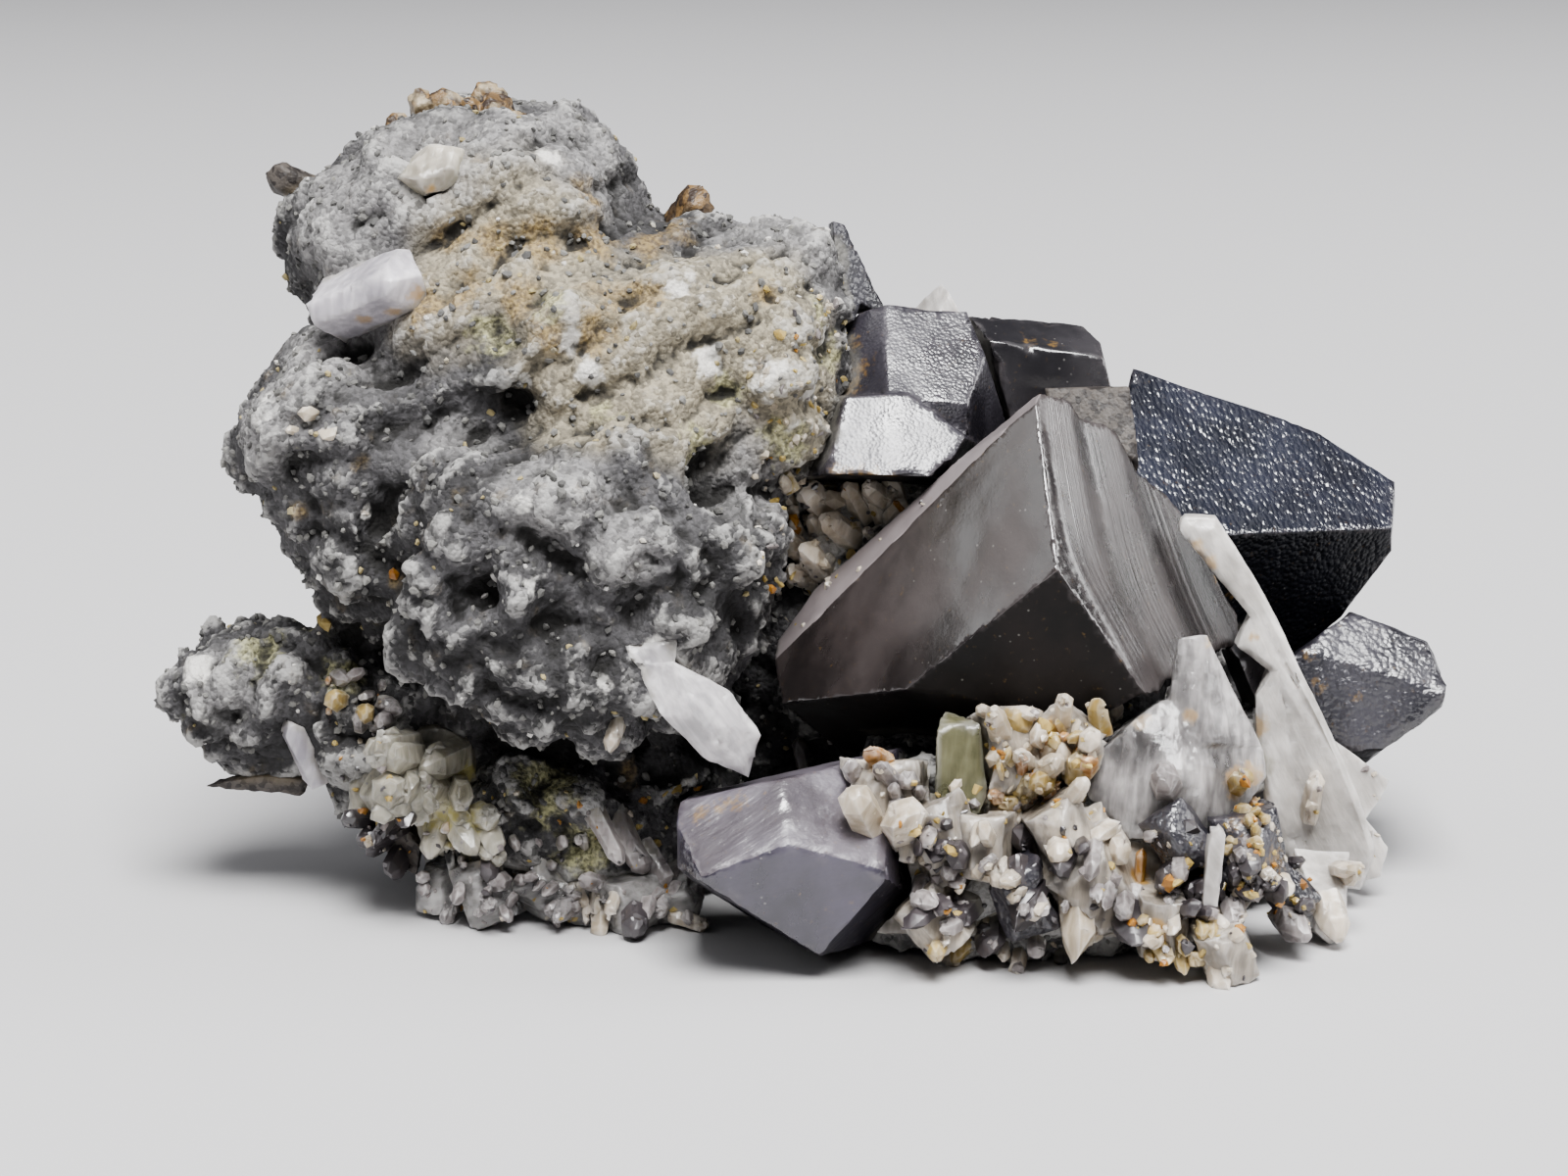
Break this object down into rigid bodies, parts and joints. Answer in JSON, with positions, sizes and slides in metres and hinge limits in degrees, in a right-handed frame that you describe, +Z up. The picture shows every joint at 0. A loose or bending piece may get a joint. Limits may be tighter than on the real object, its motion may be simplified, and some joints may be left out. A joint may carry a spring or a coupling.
{
  "type": "cassiterite specimen",
  "caption": "Hand specimen of black blocky cassiterite crystals with milky quartz on a knobbly lump of grey rock, resting on its broken underside.",
  "frame": {"origin": "middle of the specimen's outline as seen from above, on the surface that it rests on", "axes": "+X to the right along the specimen's length as seen from its show side, +Y away from the viewer towards its back, +Z up"},
  "size_m": [0.0678, 0.0382, 0.0418],
  "materials": {
    "grey_rock": "rough, sugary grained, with ochre and yellow-green stains",
    "black_cassiterite": "adamantine, striated and finely etched",
    "brown_cassiterite": "resinous to matte",
    "milky_quartz": "glassy to milky, partly clear, iron-stained in seams",
    "yellow_quartz": "glassy, pale yellow to olive, clear in parts",
    "ochre_mineral": "granular, dull to sparkling"
  },
  "bodies": {
    "root": {"matrix": "grey_rock", "cassiterite_main": "black_cassiterite", "cassiterite_upper_right": "black_cassiterite", "cassiterite_upper_middle": "black_cassiterite", "cassiterite_back_ridge": "black_cassiterite", "cassiterite_brown_step": "brown_cassiterite", "cassiterite_top_blade": "black_cassiterite", "cassiterite_lower_right": "black_cassiterite", "cassiterite_front": "black_cassiterite", "cassiterite_small": "black_cassiterite", "cassiterite_foot": "brown_cassiterite", "cassiterite_front_druse": "black_cassiterite", "cassiterite_front_small": "black_cassiterite", "cassiterite_back_left": "black_cassiterite", "cassiterite_back_right": "black_cassiterite", "quartz_blade": "milky_quartz", "quartz_point": "milky_quartz", "quartz_right_teeth": "milky_quartz", "quartz_right_foot": "milky_quartz", "quartz_lens": "milky_quartz", "quartz_top_long": "milky_quartz", "quartz_top_small": "milky_quartz", "quartz_sliver": "milky_quartz", "quartz_yellow_cluster": "yellow_quartz", "quartz_foot": "milky_quartz", "quartz_olive": "yellow_quartz", "quartz_front_druse": "milky_quartz", "quartz_needle": "milky_quartz", "quartz_back_spike": "milky_quartz", "quartz_back": "milky_quartz", "golden_crust": "ochre_mineral", "brown_spur": "ochre_mineral", "ochre_spur": "ochre_mineral", "brown_flake": "brown_cassiterite"}
  },
  "joints": []
}
